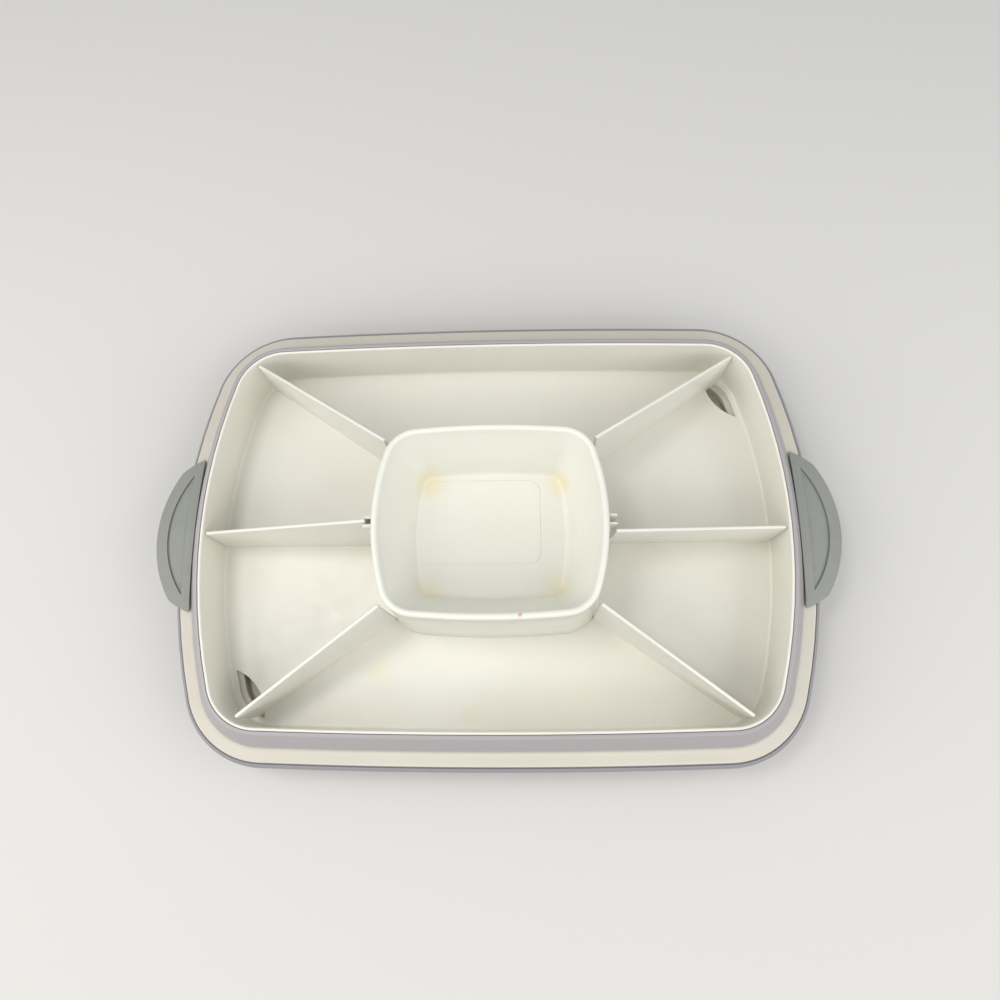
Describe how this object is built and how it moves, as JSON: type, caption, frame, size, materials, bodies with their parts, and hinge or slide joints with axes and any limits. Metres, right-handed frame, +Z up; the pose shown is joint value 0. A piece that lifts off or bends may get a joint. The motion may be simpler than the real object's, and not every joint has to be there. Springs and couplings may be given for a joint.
{
  "type": "chip and dip server",
  "caption": "Oval double-walled serving tray with a lift-out, divided food tray round a loose dip cup, and a soft grip on each short end.",
  "frame": {"origin": "bottom centre of the base, on the table it stands on", "axes": "+X along the long side towards the right grip, +Y towards the back, +Z up"},
  "size_m": [0.427, 0.2838, 0.082],
  "materials": {
    "shell": "satin moulded, lilac grey",
    "liner": "satin moulded, cream",
    "grip": "soft matt, grey-green",
    "tray": "satin moulded, warm white",
    "divider": "satin moulded, warm white",
    "cup": "satin moulded, white with faint stains"
  },
  "bodies": {
    "base": {"base_shell": "shell", "base_liner": "liner", "handle_left": "grip", "handle_right": "grip"},
    "food_tray_body": {"food_tray": "tray", "divider_back_left": "divider", "divider_back_right": "divider", "divider_front_left": "divider", "divider_front_right": "divider", "divider_middle_left": "divider", "divider_middle_right": "divider"},
    "cup_body": {"dip_cup": "cup"}
  },
  "joints": [
    {"name": "tray_lift", "type": "slide", "parent": "base", "child": "food_tray_body", "axis": [0, 0, 1], "range_m": [0, 0.06]},
    {"name": "cup_lift", "type": "slide", "parent": "food_tray_body", "child": "cup_body", "axis": [0, 0, 1], "range_m": [0, 0.08]}
  ]
}
